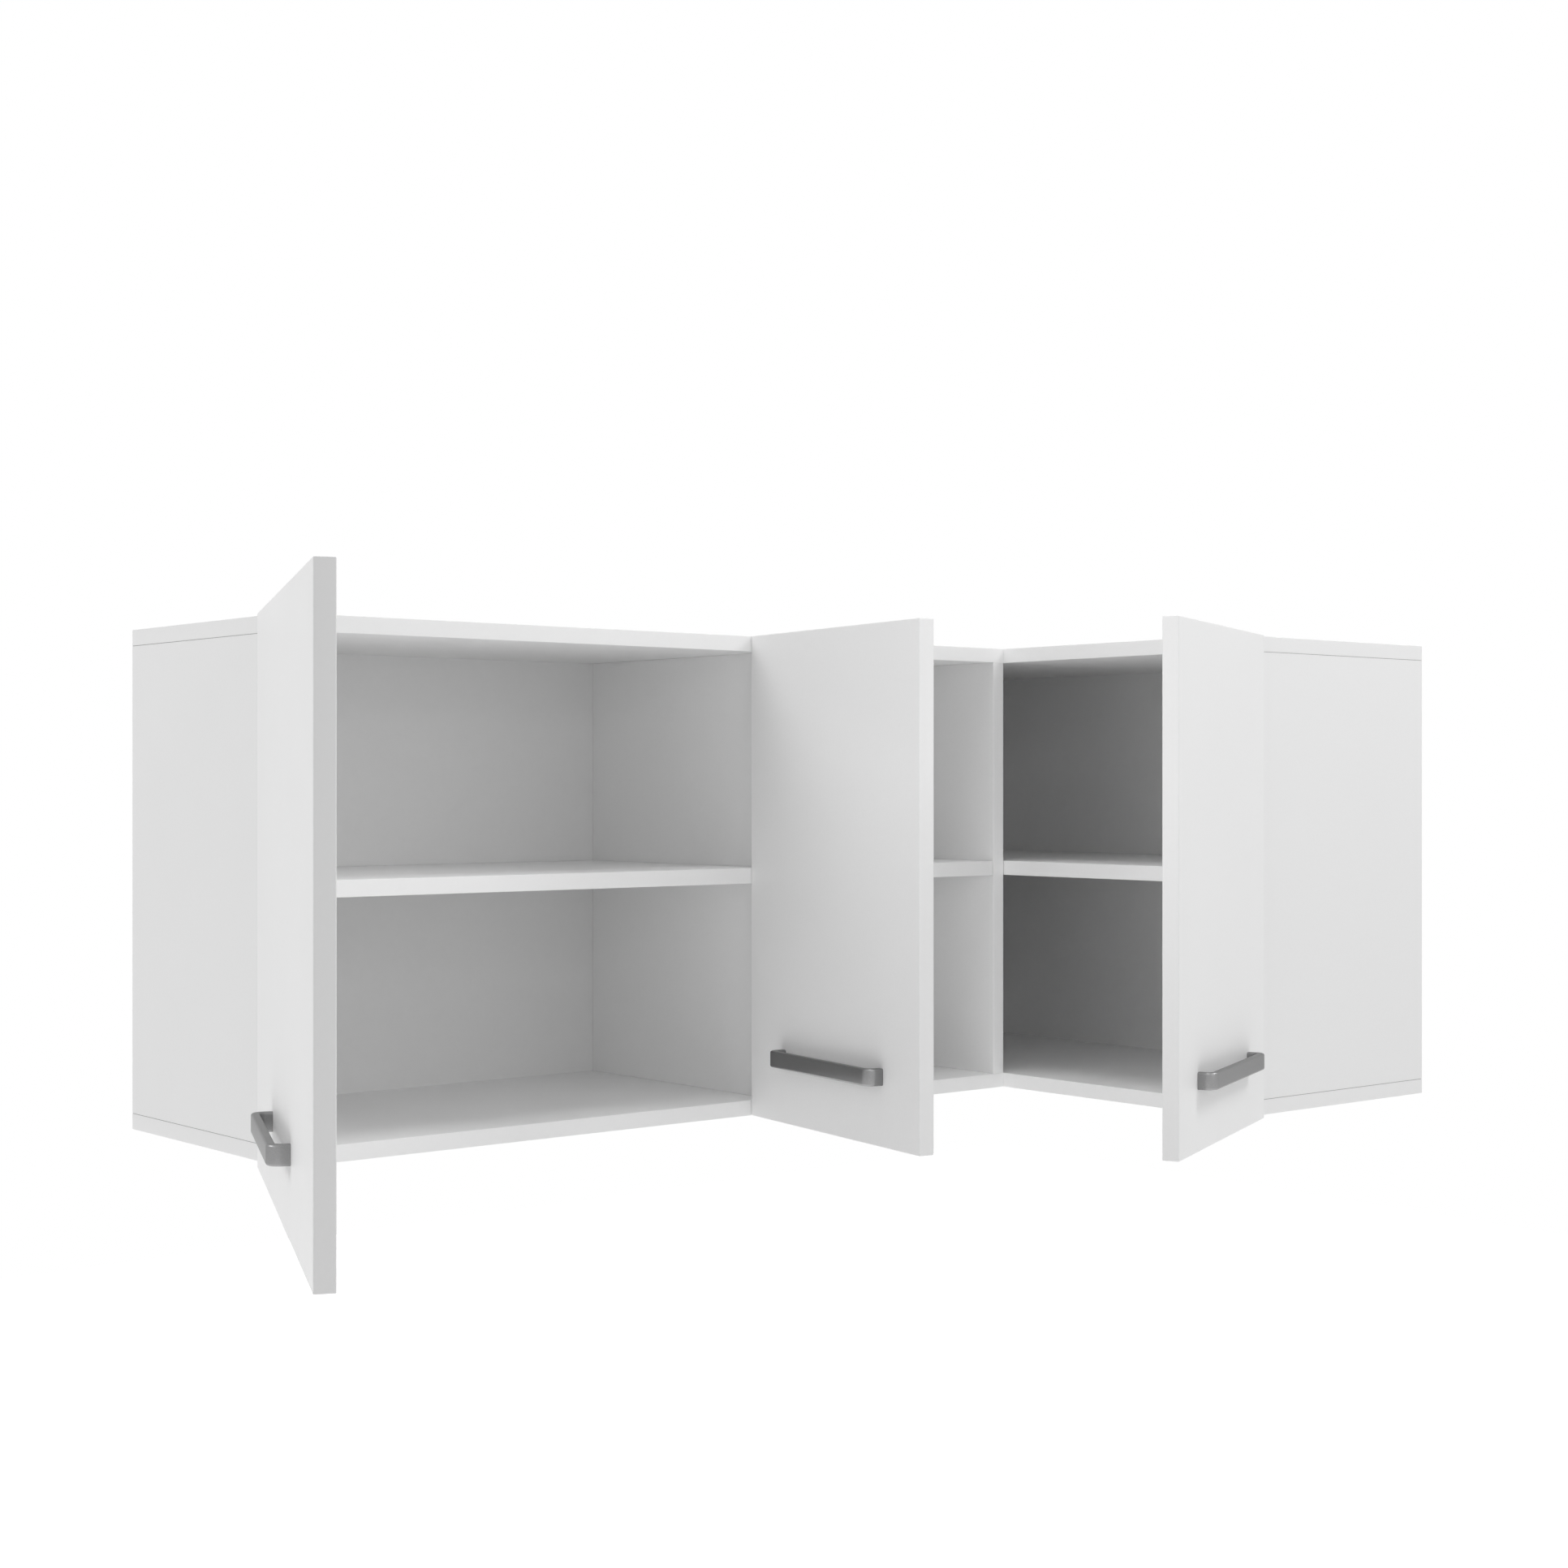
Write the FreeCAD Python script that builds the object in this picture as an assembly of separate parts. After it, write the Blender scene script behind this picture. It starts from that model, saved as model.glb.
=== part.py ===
import FreeCAD, Part
import math
import os

from FreeCAD import Vector

# L-shaped corner wall cabinet, millimetres, +Z up.
# The origin is where the two walls meet, level with the underside of the cabinet.
# The longer wing runs along -X on the wall y = 0, the shorter wing along -Y on the wall x = 0.

# Carcass
cabinet_height = 500.0
wing_depth = 320.0
long_wing_front = 910.0
short_wing_front = 340.0
board_thickness = 16.0
wide_compartment_share = 0.599
edge_ease = 0.6
back_thickness = 4.0
rebate_width = 8.0
back_play = 0.2
cut_overrun = 1.0

# Shelves and their pins
shelf_thickness = 16.0
shelf_play = 1.0
pin_radius = 2.5
pin_in_board = 8.0
pin_in_shelf = 8.0
pin_inset = 45.0
pin_play = 0.1
pin_slot_play = 0.6

# Doors
door_thickness = 16.0
door_gap = 2.0
door_side_reveal = 1.0
door_to_door_gap = 2.5
corner_door_gap = 2.0
wide_door_overlay_on_divider = 5.5
door_edge_radius = 1.0
wide_door_open_angle = 113.8
narrow_door_open_angle = 100.0
short_wing_door_open_angle = 115.0

# Pivot hinges let into the top and bottom edges
outer_pivot_inset = 5.0
outer_pivot_setback = 8.0
inner_pivot_lead = 7.8
inner_pivot_setback = 3.5
leaf_thickness = 5.0
leaf_lap_gap = 0.2
leaf_width = 9.0
tongue_width = 7.0
leaf_length = 48.0
door_leaf_length = 54.0
leaf_play = 0.3
sweep_play = 0.8
pivot_pin_radius = 1.5
pivot_pin_running_play = 0.05
pivot_pin_seat_play = 0.01
leaf_screw_radius = 1.6
leaf_screw_head_radius = 3.0
leaf_screw_head_height = 1.8
leaf_screw_length = 12.0
leaf_screw_first = 16.0
leaf_screw_spacing = 22.0
screw_play = 0.05

# Bow handles
handle_length = 194.0
handle_height = 16.5
handle_projection = 18.0
handle_bar_thickness = 6.0
handle_leg_width = 9.0
handle_outer_radius = 11.0
handle_inner_radius = 4.0
handle_edge_radius = 2.2
handle_centre_height = 67.0
handle_screw_radius = 2.0
handle_screw_depth = 11.0
handle_screw_head_radius = 4.0
handle_screw_head_height = 2.2
handle_hole_play = 0.25

# Door buffers
buffer_radius = 4.0
buffer_thickness = 1.8
buffer_from_free_edge = 25.0

# Confirmat screws and their caps
confirmat_head_radius = 5.0
confirmat_head_height = 2.0
confirmat_neck_radius = 3.5
confirmat_neck_length = 12.0
confirmat_core_radius = 2.5
confirmat_core_length = 34.0
confirmat_inset = 85.0
cap_radius = 6.5
cap_thickness = 1.0

# Cabinet hangers and wall plates
hanger_width = 17.0
hanger_depth = 52.0
hanger_height = 58.0
hanger_corner_radius = 4.0
hanger_screw_radius = 2.0
hanger_screw_length = 12.0
hanger_screw_head_radius = 3.6
hanger_screw_head_height = 2.0
hanger_screw_inset = 11.0
hook_thickness = 1.2
hook_height = 12.0
hook_play = 0.2
wall_plate_width = 62.0
wall_plate_height = 40.0
wall_plate_thickness = 1.5
wall_plate_lip_height = 9.0
wall_plate_lip_level = 8.0
wall_plate_hole_radius = 3.0
wall_plate_hole_spacing = 32.0
wall_plate_hole_edge = 8.0
wall_plate_hole_level = 30.0
notch_play = 2.0
adjuster_radius = 3.5
adjuster_length = 2.0

# Nails of the back panels
nail_radius = 0.8
nail_head_radius = 1.8
nail_head_height = 0.6
nail_length = 18.0
nail_pitch = 150.0
nail_end_inset = 60.0

# Places that follow from the sizes above
left_x = -(wing_depth + long_wing_front)
right_y = -(wing_depth + short_wing_front)
front_y = -wing_depth
front_x = -wing_depth
left_inner_x = left_x + board_thickness
divider_x = left_inner_x + long_wing_front * wide_compartment_share
divider_right_x = divider_x + board_thickness
end_panel_x = front_x - board_thickness
right_inner_y = right_y + board_thickness
vertical_low = board_thickness
vertical_high = cabinet_height - board_thickness
middle_height = cabinet_height / 2
shelf_low = middle_height - shelf_thickness / 2
pin_level = shelf_low + pin_radius + pin_play
leaf_lap = (leaf_thickness - leaf_lap_gap) / 2
tongue_radius = tongue_width / 2
leaf_end_radius = leaf_width / 2
door_leaf_middle = -(door_gap + door_thickness / 2)
door_inner = -door_gap
door_outer = -(door_gap + door_thickness)


def block(low, high):
    """A box between two corners."""
    size = high.sub(low)
    return Part.makeBox(size.x, size.y, size.z, low)


def cylinder(radius, length, base, axis):
    return Part.makeCylinder(radius, length, base, axis)


def eased(solid, radius):
    return solid.makeFillet(radius, solid.Edges)


def board(low, high):
    """A board with lightly eased edges."""
    return eased(block(low, high), edge_ease)


def drilled(solid, cutters):
    """The solid less all of its cutters, as one clean solid."""
    if not cutters:
        return solid
    result = solid.cut(cutters)
    return result.removeSplitter()


def export(name, solids):
    shape = solids[0] if len(solids) == 1 else Part.makeCompound(solids)
    shape.exportStep("parts/" + name + ".step")


def upside_down(solid):
    """The bottom fitting is the top one mirrored at mid-height."""
    return solid.mirror(Vector(0, 0, middle_height), Vector(0, 0, 1))


def both_levels(solid):
    return [solid, upside_down(solid)]


# Carcass boards

def ell_board(low, high):
    """The top or the bottom board, one L-shaped piece over both wings."""
    corners = [
        Vector(left_x, 0, low),
        Vector(left_x, front_y, low),
        Vector(front_x, front_y, low),
        Vector(front_x, right_y, low),
        Vector(0, right_y, low),
        Vector(0, 0, low),
    ]
    outline = Part.makePolygon(corners + corners[:1])
    solid = Part.Face(outline).extrude(Vector(0, 0, high - low))
    return eased(solid, edge_ease)


def back_rebates():
    """The room that the two back panels take out of the boards around them."""
    low = board_thickness - rebate_width
    high = cabinet_height - low
    long_room = block(
        Vector(left_x + low, -back_thickness, low),
        Vector(cut_overrun, cut_overrun, high))
    short_room = block(
        Vector(-back_thickness, right_y + low, low),
        Vector(cut_overrun, cut_overrun, high))
    return [long_room, short_room]


def long_back_panel():
    low = board_thickness - rebate_width + back_play
    high = cabinet_height - low
    return block(Vector(left_x + low, -back_thickness, low), Vector(0, 0, high))


def short_back_panel():
    low = board_thickness - rebate_width + back_play
    high = cabinet_height - low
    return block(
        Vector(-back_thickness, right_y + low, low),
        Vector(0, -back_thickness, high))


def vertical_board(x_low, x_high, y_low, y_high):
    return board(Vector(x_low, y_low, vertical_low), Vector(x_high, y_high, vertical_high))


# Confirmat screws hold the top and bottom boards on the four vertical boards

def confirmat_places():
    """Plan positions of the screws, two along each vertical board."""
    half = board_thickness / 2
    places = []
    for x in (left_x + half, divider_x + half, end_panel_x + half):
        places.append(Vector(x, front_y + confirmat_inset, 0))
        places.append(Vector(x, -confirmat_inset, 0))
    for x in (front_x + confirmat_inset, -confirmat_inset):
        places.append(Vector(x, right_y + half, 0))
    return places


def confirmat(place, play):
    """One screw in the top board, its head under the cap."""
    down = Vector(0, 0, -1)
    head_top = cabinet_height - cap_thickness
    neck_top = head_top - confirmat_head_height
    core_top = neck_top - confirmat_neck_length
    head = cylinder(
        confirmat_head_radius + play, confirmat_head_height, place + Vector(0, 0, head_top), down)
    neck = cylinder(
        confirmat_neck_radius + play, confirmat_neck_length, place + Vector(0, 0, neck_top), down)
    core = cylinder(
        confirmat_core_radius + play, confirmat_core_length + play,
        place + Vector(0, 0, core_top), down)
    return head.fuse([neck, core]).removeSplitter()


def cap(place):
    return cylinder(
        cap_radius, cap_thickness, place + Vector(0, 0, cabinet_height), Vector(0, 0, -1))


def cap_recess(place):
    top = cabinet_height + cut_overrun
    return cylinder(
        cap_radius + screw_play, cap_thickness + cut_overrun,
        place + Vector(0, 0, top), Vector(0, 0, -1))


# Shelves

def shelf_pins(places):
    """Pins as (start in the board, direction) pairs."""
    length = pin_in_board + pin_in_shelf
    return [cylinder(pin_radius, length, start, axis) for start, axis in places]


def pin_bores(places):
    return [
        cylinder(pin_radius + screw_play, pin_in_board + screw_play, start - axis * screw_play, axis)
        for start, axis in places]


def shelf_slots(places):
    """Slots in the underside of the shelf, which hide the pins."""
    slots = []
    half = pin_radius + pin_slot_play
    for start, axis in places:
        face = start + axis * pin_in_board
        tip = face + axis * (pin_in_shelf + pin_slot_play)
        across = Vector(axis.y, axis.x, 0) * half
        corners = [face + across, face - across, tip + across, tip - across]
        low = Vector(
            min(c.x for c in corners), min(c.y for c in corners), shelf_low - cut_overrun)
        high = Vector(
            max(c.x for c in corners), max(c.y for c in corners), pin_level + pin_radius + pin_play)
        slots.append(block(low, high))
    return slots


def pins_between_boards(x_low, x_high):
    """Four pins, two in each of the boards left and right of a shelf."""
    places = []
    for y in (front_y + pin_inset, -pin_inset):
        places.append((Vector(x_low - pin_in_board, y, pin_level), Vector(1, 0, 0)))
        places.append((Vector(x_high + pin_in_board, y, pin_level), Vector(-1, 0, 0)))
    return places


def pins_of_corner_shelf():
    """Two pins in the right side and two in the corner end panel."""
    places = []
    for x in (front_x + pin_inset, -pin_inset):
        places.append((Vector(x, right_inner_y - pin_in_board, pin_level), Vector(0, 1, 0)))
    for y in (front_y + pin_inset, -pin_inset):
        places.append((Vector(front_x - pin_in_board, y, pin_level), Vector(1, 0, 0)))
    return places


def shelf(x_low, x_high, y_low, y_high, pins):
    solid = board(
        Vector(x_low + shelf_play, y_low, shelf_low),
        Vector(x_high - shelf_play, y_high - shelf_play, shelf_low + shelf_thickness))
    return drilled(solid, shelf_slots(pins))


# Doors are built shut in a frame of their own: x runs from the hinge corner of the carcass
# along the door, y runs back into the cabinet, and the front edges of the boards are at y = 0.

class Door:
    def __init__(self, name, origin, mirrored, first, last, pivot, angle):
        self.name = name
        self.origin = origin
        self.mirrored = mirrored
        self.first = first
        self.last = last
        self.pivot = pivot
        self.angle = angle

    def fixed(self, solid):
        """Carry a solid from the door's frame to the cabinet."""
        if self.mirrored:
            solid = solid.mirror(Vector(0, 0, 0), Vector(1, -1, 0))
        return solid.translated(self.origin)

    def moving(self, solid):
        """Open the door about its pivot, then carry the solid to the cabinet."""
        turned = solid.copy()
        turned.rotate(self.pivot, Vector(0, 0, 1), -self.angle)
        return self.fixed(turned)

    def middle(self):
        return (self.first + self.last) / 2

    def crank(self):
        """Where the tongue leaves the door, beside the pivot if the door starts past it."""
        return max(self.pivot.x, self.first + leaf_play + tongue_radius)


def wide_door():
    last = divider_x + wide_door_overlay_on_divider - left_x
    return Door(
        "left", Vector(left_x, front_y, 0), False, door_side_reveal, last,
        Vector(outer_pivot_inset, outer_pivot_setback, 0), wide_door_open_angle)


def narrow_door():
    first = wide_door_overlay_on_divider + door_to_door_gap
    last = front_x + door_outer - corner_door_gap - divider_x
    pivot = Vector(first - inner_pivot_lead, inner_pivot_setback, 0)
    return Door(
        "middle", Vector(divider_x, front_y, 0), False, first, last,
        pivot, narrow_door_open_angle)


def short_wing_door():
    last = short_wing_front + door_outer - corner_door_gap
    return Door(
        "right", Vector(front_x, right_y, 0), True, door_side_reveal, last,
        Vector(outer_pivot_inset, outer_pivot_setback, 0), short_wing_door_open_angle)


def flat_strip(x_low, x_high, y_low, y_high, z_low, z_high):
    return block(Vector(x_low, y_low, z_low), Vector(x_high, y_high, z_high))


def top_of_lap():
    return cabinet_height - leaf_lap - leaf_lap_gap


def bottom_of_tongue():
    return cabinet_height - leaf_lap


def leaf_screw(x, y, play):
    """A countersunk screw, its head level with the leaf."""
    down = Vector(0, 0, -1)
    top = Vector(x, y, cabinet_height)
    head = Part.makeCone(
        leaf_screw_head_radius + play, leaf_screw_radius + play, leaf_screw_head_height, top, down)
    shank = cylinder(leaf_screw_radius + play, leaf_screw_length + play, top, down)
    return head.fuse(shank).removeSplitter()


def carcass_leaf_start(door):
    """Where the carcass leaf has its full thickness, behind the sweep of the tongue."""
    past_square = math.radians(door.angle) - math.pi / 2
    swept = leaf_end_radius * math.tan(past_square) + tongue_radius / math.cos(past_square)
    return door.pivot.y + max(leaf_end_radius, swept) + leaf_play


def carcass_leaf_screw_places(door):
    start = carcass_leaf_start(door) + leaf_screw_first
    return [(door.pivot.x, start + n * leaf_screw_spacing) for n in range(2)]


def door_leaf_screw_places(door):
    start = door.crank() + leaf_screw_first
    return [(start + n * leaf_screw_spacing, door_leaf_middle) for n in range(2)]


def pivot_bore(door, play):
    height = leaf_thickness + cut_overrun + cut_overrun
    base = door.pivot + Vector(0, 0, cabinet_height + cut_overrun)
    return cylinder(pivot_pin_radius + play, height, base, Vector(0, 0, -1))


def pivot_pin(door):
    base = door.pivot + Vector(0, 0, cabinet_height)
    return cylinder(pivot_pin_radius, leaf_thickness, base, Vector(0, 0, -1))


def carcass_leaf(door):
    """The leaf let into the carcass, halved and round where the tongue lies on it."""
    x, y = door.pivot.x, door.pivot.y
    bottom = cabinet_height - leaf_thickness
    start = carcass_leaf_start(door)
    body = flat_strip(
        x - leaf_end_radius, x + leaf_end_radius, start, start + leaf_length,
        bottom, cabinet_height)
    eye = cylinder(tongue_radius, top_of_lap() - bottom, Vector(x, y, bottom), Vector(0, 0, 1))
    neck = flat_strip(x - tongue_radius, x + tongue_radius, y, start, bottom, top_of_lap())
    solid = body.fuse([eye, neck]).removeSplitter()
    cutters = [leaf_screw(x, y, screw_play) for x, y in carcass_leaf_screw_places(door)]
    cutters.append(pivot_bore(door, pivot_pin_seat_play))
    return drilled(solid, cutters)


def tongue(door):
    """The halved end of the door leaf, from the pivot to the middle of the door's edge."""
    x, y = door.pivot.x, door.pivot.y
    low, high = bottom_of_tongue(), cabinet_height
    crank = door.crank()
    eye = cylinder(tongue_radius, high - low, Vector(x, y, low), Vector(0, 0, 1))
    if crank == x:
        arm = flat_strip(x - tongue_radius, x + tongue_radius, door_leaf_middle, y, low, high)
        return [eye, arm]
    across = flat_strip(x, crank + tongue_radius, y - tongue_radius, y + tongue_radius, low, high)
    arm = flat_strip(
        crank - tongue_radius, crank + tongue_radius, door_leaf_middle, y + tongue_radius,
        low, high)
    return [eye, across, arm]


def door_leaf(door):
    """The leaf let into the edge of the door, with the tongue that turns on the pin."""
    start = door.first + leaf_play
    body = flat_strip(
        start, start + door_leaf_length,
        door_leaf_middle - leaf_end_radius, door_leaf_middle + leaf_end_radius,
        cabinet_height - leaf_thickness, cabinet_height)
    solid = body.fuse(tongue(door)).removeSplitter()
    cutters = [leaf_screw(x, y, screw_play) for x, y in door_leaf_screw_places(door)]
    cutters.append(pivot_bore(door, pivot_pin_running_play))
    return drilled(solid, cutters)


def carcass_leaf_pocket(door):
    """Room for the carcass leaf, and for the tongue of the door leaf as it swings."""
    x, y = door.pivot.x, door.pivot.y
    top = cabinet_height + cut_overrun
    half = leaf_end_radius + leaf_play
    end = carcass_leaf_start(door) + leaf_length + leaf_play
    leaf_room = flat_strip(
        x - half, x + half, y - half, end, cabinet_height - leaf_thickness, top)
    past_square = math.radians(door.angle) - math.pi / 2
    if door.crank() == x:
        low = -cut_overrun
        reach = y + x * math.tan(past_square) + tongue_radius / math.cos(past_square)
    else:
        low = x - tongue_radius - sweep_play
        reach = y + tongue_radius
    swing_room = flat_strip(
        low, door.crank() + tongue_radius + sweep_play,
        -cut_overrun, reach + sweep_play, top_of_lap(), top)
    return [leaf_room, swing_room]


def door_leaf_pocket(door):
    """Room in the edge of the door for its leaf and for the root of the tongue."""
    half = leaf_end_radius + leaf_play
    top = cabinet_height + cut_overrun
    start = door.first
    leaf_room = flat_strip(
        start, start + leaf_play + door_leaf_length + leaf_play,
        door_leaf_middle - half, door_leaf_middle + half, cabinet_height - leaf_thickness, top)
    half_tongue = tongue_radius + leaf_play
    tongue_room = flat_strip(
        max(door.crank() - half_tongue, start), door.crank() + half_tongue,
        door_leaf_middle, cut_overrun, top_of_lap(), top)
    return [leaf_room, tongue_room]


# Handles

def handle_ends(door):
    half = handle_length / 2
    return door.middle() - half, door.middle() + half


def handle_screw_places(door):
    first, last = handle_ends(door)
    half = handle_leg_width / 2
    return [
        Vector(first + half, 0, handle_centre_height),
        Vector(last - half, 0, handle_centre_height)]


def edges_between(solid, test):
    return [edge for edge in solid.Edges if test(edge)]


def upright(edge):
    ends = [vertex.Point for vertex in edge.Vertexes]
    return len(ends) == 2 and abs(ends[0].z - ends[1].z) > handle_height / 2


def bow_handle(door):
    """A flat bar bent at both ends, with a finger gap between it and the door."""
    first, last = handle_ends(door)
    low = handle_centre_height - handle_height / 2
    high = handle_centre_height + handle_height / 2
    face = door_outer
    front = face - handle_projection
    outer = block(Vector(first, front, low), Vector(last, face, high))
    outer = outer.makeFillet(
        handle_outer_radius,
        edges_between(outer, lambda e: upright(e) and e.CenterOfMass.y < (face + front) / 2))
    inner = block(
        Vector(first + handle_leg_width, front + handle_bar_thickness, low - cut_overrun),
        Vector(last - handle_leg_width, face + cut_overrun, high + cut_overrun))
    inner = inner.makeFillet(
        handle_inner_radius,
        edges_between(inner, lambda e: upright(e) and e.CenterOfMass.y < (face + front) / 2))
    solid = outer.cut(inner)
    on_door = face - handle_edge_radius / 2
    solid = solid.makeFillet(
        handle_edge_radius,
        edges_between(solid, lambda e: not upright(e) and e.BoundBox.YMin < on_door))
    bores = [
        cylinder(
            handle_screw_radius + screw_play, handle_screw_depth + screw_play,
            Vector(place.x, face, place.z), Vector(0, -1, 0))
        for place in handle_screw_places(door)]
    return drilled(solid, bores)


def handle_screw(place):
    """A screw from inside the door, its head on the inner face."""
    outwards = Vector(0, -1, 0)
    start = Vector(place.x, door_inner, place.z)
    shank = cylinder(
        handle_screw_radius, door_thickness + handle_screw_depth, start, outwards)
    head = cylinder(
        handle_screw_head_radius, handle_screw_head_height, start, Vector(0, 1, 0))
    return head.fuse(shank).removeSplitter()


def handle_hole(place):
    start = Vector(place.x, door_inner + cut_overrun, place.z)
    length = door_thickness + cut_overrun + cut_overrun
    return cylinder(handle_screw_radius + handle_hole_play, length, start, Vector(0, -1, 0))


def door_buffer(door):
    """A soft stud on the inner face that meets the front edge of the top board."""
    place = Vector(
        door.last - buffer_from_free_edge, door_inner, cabinet_height - board_thickness / 2)
    return cylinder(buffer_radius, buffer_thickness, place, Vector(0, 1, 0))


def door_panel(door):
    solid = eased(
        block(Vector(door.first, door_outer, 0), Vector(door.last, door_inner, cabinet_height)),
        door_edge_radius)
    cutters = [handle_hole(place) for place in handle_screw_places(door)]
    fittings = door_leaf_pocket(door)
    fittings += [leaf_screw(x, y, screw_play) for x, y in door_leaf_screw_places(door)]
    for fitting in fittings:
        cutters += both_levels(fitting)
    return drilled(solid, cutters)


def carcass_hinge_cutters(door):
    cutters = carcass_leaf_pocket(door)
    cutters += [leaf_screw(x, y, screw_play) for x, y in carcass_leaf_screw_places(door)]
    return [door.fixed(cutter) for cutter in cutters]


def export_door(door):
    export("door_" + door.name, [door.moving(door_panel(door))])
    export("handle_" + door.name, [door.moving(bow_handle(door))])
    screws = [handle_screw(place) for place in handle_screw_places(door)]
    export("handle_screws_" + door.name, [door.moving(screw) for screw in screws])
    buffers = both_levels(door_buffer(door))
    export("buffers_" + door.name, [door.moving(stud) for stud in buffers])
    leaves = both_levels(door_leaf(door))
    export("door_leaves_" + door.name, [door.moving(leaf) for leaf in leaves])
    fixed_leaves = both_levels(carcass_leaf(door))
    export("carcass_leaves_" + door.name, [door.fixed(leaf) for leaf in fixed_leaves])
    pins = both_levels(pivot_pin(door))
    export("pivot_pins_" + door.name, [door.fixed(pin) for pin in pins])
    door_screws = []
    for x, y in door_leaf_screw_places(door):
        door_screws += both_levels(leaf_screw(x, y, 0))
    export("door_leaf_screws_" + door.name, [door.moving(screw) for screw in door_screws])
    carcass_screws = []
    for x, y in carcass_leaf_screw_places(door):
        carcass_screws += both_levels(leaf_screw(x, y, 0))
    export("carcass_leaf_screws_" + door.name, [door.fixed(screw) for screw in carcass_screws])


# Hangers are built for the left side: x runs from the inner face of the board into the
# compartment, y runs to the wall, and z = 0 is the underside of the top board.

class Hanger:
    def __init__(self, name, origin, turned):
        self.name = name
        self.origin = origin
        self.turned = turned

    def placed(self, solid):
        """On the shorter wing the wall is x = 0 and the board faces +Y."""
        if self.turned == "right":
            solid = solid.mirror(Vector(0, 0, 0), Vector(1, -1, 0))
        if self.turned == "corner":
            solid = solid.mirror(Vector(0, 0, 0), Vector(1, 0, 0))
        return solid.translated(self.origin)


def hangers():
    return [
        Hanger("left", Vector(left_inner_x, 0, vertical_high), "left"),
        Hanger("corner", Vector(end_panel_x, 0, vertical_high), "corner"),
        Hanger("right", Vector(0, right_inner_y, vertical_high), "right")]


def wall_plate_low():
    return -(notch_play + wall_plate_height)


def lip_low():
    return wall_plate_low() + wall_plate_lip_level


def lip_front():
    """The lip stands a hook's thickness and its play away from the plate."""
    return -(wall_plate_thickness + hook_play + hook_thickness + hook_play)


def wall_plate():
    """A steel plate screwed to the wall, with a turned-up lip for the hook."""
    low = wall_plate_low()
    plate = block(
        Vector(notch_play, -wall_plate_thickness, low),
        Vector(notch_play + wall_plate_width, 0, low + wall_plate_height))
    lip_end = notch_play + hanger_width
    sole = block(
        Vector(notch_play, lip_front() - wall_plate_thickness, lip_low()),
        Vector(lip_end, 0, lip_low() + wall_plate_thickness))
    lip = block(
        Vector(notch_play, lip_front() - wall_plate_thickness, lip_low()),
        Vector(lip_end, lip_front(), lip_low() + wall_plate_lip_height))
    solid = plate.fuse([sole, lip]).removeSplitter()
    return drilled(solid, [wall_plate_hole(n) for n in range(2)])


def wall_plate_hole(n):
    last = notch_play + wall_plate_width - wall_plate_hole_edge
    x = last - n * wall_plate_hole_spacing
    start = Vector(x, -wall_plate_thickness - cut_overrun, wall_plate_low() + wall_plate_hole_level)
    length = wall_plate_thickness + cut_overrun + cut_overrun
    return cylinder(wall_plate_hole_radius, length, start, Vector(0, 1, 0))


def back_notch():
    """The opening in the back panel for the wall plate and the hook."""
    low = wall_plate_low() - notch_play
    return block(
        Vector(0, -back_thickness - cut_overrun, low),
        Vector(notch_play + wall_plate_width + notch_play, cut_overrun, 0))


def hanger_body():
    """The housing on the board, with a hollow that the hook passes through."""
    back = -back_thickness - wall_plate_thickness - hook_thickness
    housing = block(
        Vector(0, back - hanger_depth, -hanger_height), Vector(hanger_width, back, 0))
    corner_edges = [
        edge for edge in housing.Edges
        if abs(edge.CenterOfMass.x - hanger_width) < hook_play and edge.CenterOfMass.y < back]
    housing = housing.makeFillet(hanger_corner_radius, corner_edges)
    return drilled(housing, [hanger_screw(place, screw_play) for place in hanger_screw_places()])


def hanger_screw_places():
    back = -back_thickness - wall_plate_thickness - hook_thickness
    y = back - hanger_depth / 2
    return [
        Vector(hanger_width, y, -hanger_screw_inset),
        Vector(hanger_width, y, -hanger_height + hanger_screw_inset)]


def hanger_screw(place, play):
    inwards = Vector(-1, 0, 0)
    head = cylinder(hanger_screw_head_radius + play, hanger_screw_head_height, place, inwards)
    shank = cylinder(
        hanger_screw_radius + play, hanger_width + hanger_screw_length + play, place, inwards)
    return head.fuse(shank).removeSplitter()


def hanger_hook():
    """The steel hook, over the lip of the wall plate and back to the housing."""
    mouth = lip_low() + wall_plate_lip_height + hook_play
    top = mouth + hook_height
    behind = -(wall_plate_thickness + hook_play)
    housing_back = -back_thickness - wall_plate_thickness - hook_thickness
    bridge = block(
        Vector(notch_play, housing_back, mouth),
        Vector(hanger_width, behind, top))
    tooth = block(
        Vector(notch_play, behind - hook_thickness, lip_low() + wall_plate_thickness + hook_play),
        Vector(hanger_width, behind, mouth))
    return bridge.fuse(tooth).removeSplitter()


def adjuster():
    """The adjusting screw that shows on the room side of the housing."""
    back = -back_thickness - wall_plate_thickness - hook_thickness
    front = back - hanger_depth
    centre = Vector(hanger_width / 2, front, -hanger_height / 2)
    screw = cylinder(adjuster_radius, adjuster_length, centre, Vector(0, -1, 0))
    return screw


# Nails hold the back panels

def nail(place, axis, play):
    head = cylinder(nail_head_radius + play, nail_head_height, place, axis)
    shank = cylinder(nail_radius + play, nail_length + play, place, axis)
    return head.fuse(shank).removeSplitter()


def nail_steps(low, high):
    """Even places from one end inset to the other, no further apart than the pitch."""
    span = high - low - nail_end_inset - nail_end_inset
    count = int(math.ceil(span / nail_pitch))
    return [low + nail_end_inset + span * n / count for n in range(count + 1)]


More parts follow.
